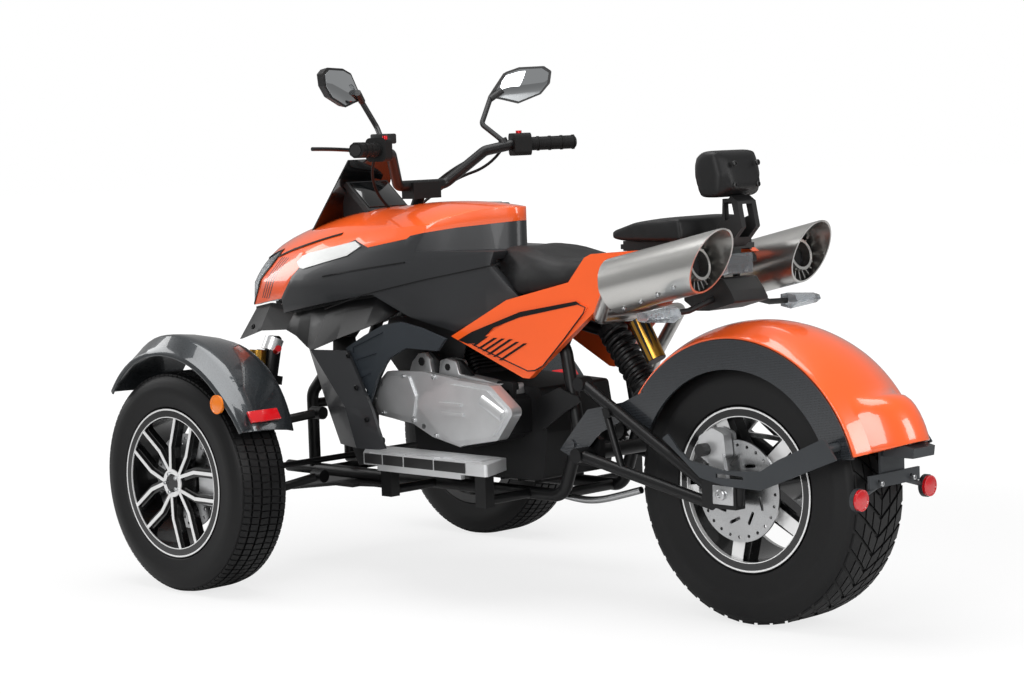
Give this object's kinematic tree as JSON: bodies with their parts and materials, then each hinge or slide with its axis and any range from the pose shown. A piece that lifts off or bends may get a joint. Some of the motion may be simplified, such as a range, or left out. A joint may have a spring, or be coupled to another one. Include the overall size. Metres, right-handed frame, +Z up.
{
  "type": "motorized trike",
  "caption": "Three-wheeled sports roadster with two steered front wheels, one driven rear wheel, step-through footboards, a low saddle with backrest and twin upswept mufflers.",
  "frame": {"origin": "on the floor, under the centre of the bounding box", "axes": "+X forward, +Y to the rider's left, +Z up"},
  "size_m": [2.212, 1.28, 1.3349],
  "materials": {
    "tyre": "matt moulded rubber",
    "black_alloy": "gloss black with machined edges",
    "brake_steel": "ground steel",
    "cast_iron": "rough cast, black",
    "cast_aluminium": "bead-blasted casting",
    "charcoal_gloss": "metallic charcoal, clear coated",
    "charcoal_satin": "satin moulded",
    "black_frame": "black powder coat",
    "black_gloss": "gloss black moulding",
    "slate_plastic": "satin slate moulding",
    "black_plastic": "grained black",
    "grip_rubber": "ribbed rubber",
    "orange_paint": "glossy orange, clear coated",
    "clear_lens": "clear lens",
    "red_lens": "red lens",
    "dark_screen": "dark tinted screen",
    "engine_black": "black painted casting",
    "seat_vinyl": "grained black vinyl",
    "brushed_stainless": "brushed stainless",
    "carbon_trim": "woven carbon pattern",
    "grey_plate": "grey painted plate"
  },
  "bodies": {
    "chassis": {"chain": "brake_steel", "rear_caliper": "cast_aluminium", "wishbones": "black_frame", "main_frame": "black_frame", "swingarm": "black_frame", "skid_tray": "black_plastic", "front_shocks": "black_frame", "rear_shock": "black_frame", "side_covers": "charcoal_satin", "nose": "orange_paint", "top_cover": "orange_paint", "tail_panels": "orange_paint", "rear_fender": "orange_paint", "headlamps": "clear_lens", "windscreen": "dark_screen", "dash": "black_plastic", "engine": "engine_black", "transmission_cover": "cast_aluminium", "leg_shields": "charcoal_satin", "lower_fairing": "black_gloss", "vent_panels": "slate_plastic", "undertail": "black_plastic", "footboards": "cast_aluminium", "rider_seat": "seat_vinyl", "pillion_seat": "seat_vinyl", "backrest": "seat_vinyl", "rear_rack": "black_plastic", "tail_lamp": "red_lens", "turn_signals": "clear_lens", "mufflers": "brushed_stainless", "exhaust_pipe": "brushed_stainless", "fender_skirts": "carbon_trim", "fender_arms": "grey_plate", "plate_bracket": "grey_plate"},
    "rear_wheel": {"rear_tyre": "tyre", "rear_rim": "black_alloy", "rear_disc": "brake_steel", "rear_sprocket": "brake_steel"},
    "front_wheel_left": {"front_tyre_left": "tyre", "front_rim_left": "black_alloy", "front_disc_left": "brake_steel"},
    "front_wheel_right": {"front_tyre_right": "tyre", "front_rim_right": "black_alloy", "front_disc_right": "brake_steel"},
    "knuckle_left": {"knuckle_left": "cast_iron", "front_caliper_left": "cast_aluminium", "front_fender_left": "charcoal_gloss"},
    "knuckle_right": {"knuckle_right": "cast_iron", "front_caliper_right": "cast_aluminium", "front_fender_right": "charcoal_gloss"},
    "steering": {"handlebar": "black_frame", "controls": "grip_rubber", "mirrors": "black_plastic"},
    "steering_link": {"steering_link": "black_frame"},
    "tie_rod_left": {"tie_rod_left": "black_frame"},
    "tie_rod_right": {"tie_rod_right": "black_frame"}
  },
  "joints": [
    {"name": "rear_wheel_spin", "type": "hinge", "parent": "chassis", "child": "rear_wheel", "pos_m": [-0.65, 0, 0.321], "axis": [0, 1, 0], "continuous": true},
    {"name": "steering", "type": "hinge", "parent": "chassis", "child": "steering", "pos_m": [0.5, 0, 1.01], "axis": [-0.4695, 0, 0.8829], "range_deg": [-26, 26]},
    {"name": "steering_link_turn", "type": "hinge", "parent": "chassis", "child": "steering_link", "pos_m": [0.82, 0, 0.33], "axis": [0, 0, 1], "range_deg": [-26, 26]},
    {"name": "knuckle_left_turn", "type": "hinge", "parent": "chassis", "child": "knuckle_left", "pos_m": [0.82, 0.455, 0.286], "axis": [0, 0, 1], "range_deg": [-26, 26]},
    {"name": "knuckle_right_turn", "type": "hinge", "parent": "chassis", "child": "knuckle_right", "pos_m": [0.82, -0.455, 0.286], "axis": [0, 0, 1], "range_deg": [-26, 26]},
    {"name": "tie_rod_left_turn", "type": "hinge", "parent": "steering_link", "child": "tie_rod_left", "pos_m": [0.71, 0.025, 0.306], "axis": [0, 0, 1], "range_deg": [-26, 26]},
    {"name": "tie_rod_right_turn", "type": "hinge", "parent": "steering_link", "child": "tie_rod_right", "pos_m": [0.71, -0.025, 0.306], "axis": [0, 0, 1], "range_deg": [-26, 26]},
    {"name": "front_wheel_left_spin", "type": "hinge", "parent": "knuckle_left", "child": "front_wheel_left", "pos_m": [0.82, 0.539, 0.286], "axis": [0, 1, 0], "continuous": true},
    {"name": "front_wheel_right_spin", "type": "hinge", "parent": "knuckle_right", "child": "front_wheel_right", "pos_m": [0.82, -0.539, 0.286], "axis": [0, 1, 0], "continuous": true}
  ],
  "couplings": [
    {"joint": "steering_link_turn", "follows": "steering", "ratio": 1},
    {"joint": "knuckle_left_turn", "follows": "steering", "ratio": 1},
    {"joint": "knuckle_right_turn", "follows": "steering", "ratio": 1},
    {"joint": "tie_rod_left_turn", "follows": "steering", "ratio": -1},
    {"joint": "tie_rod_right_turn", "follows": "steering", "ratio": -1}
  ]
}
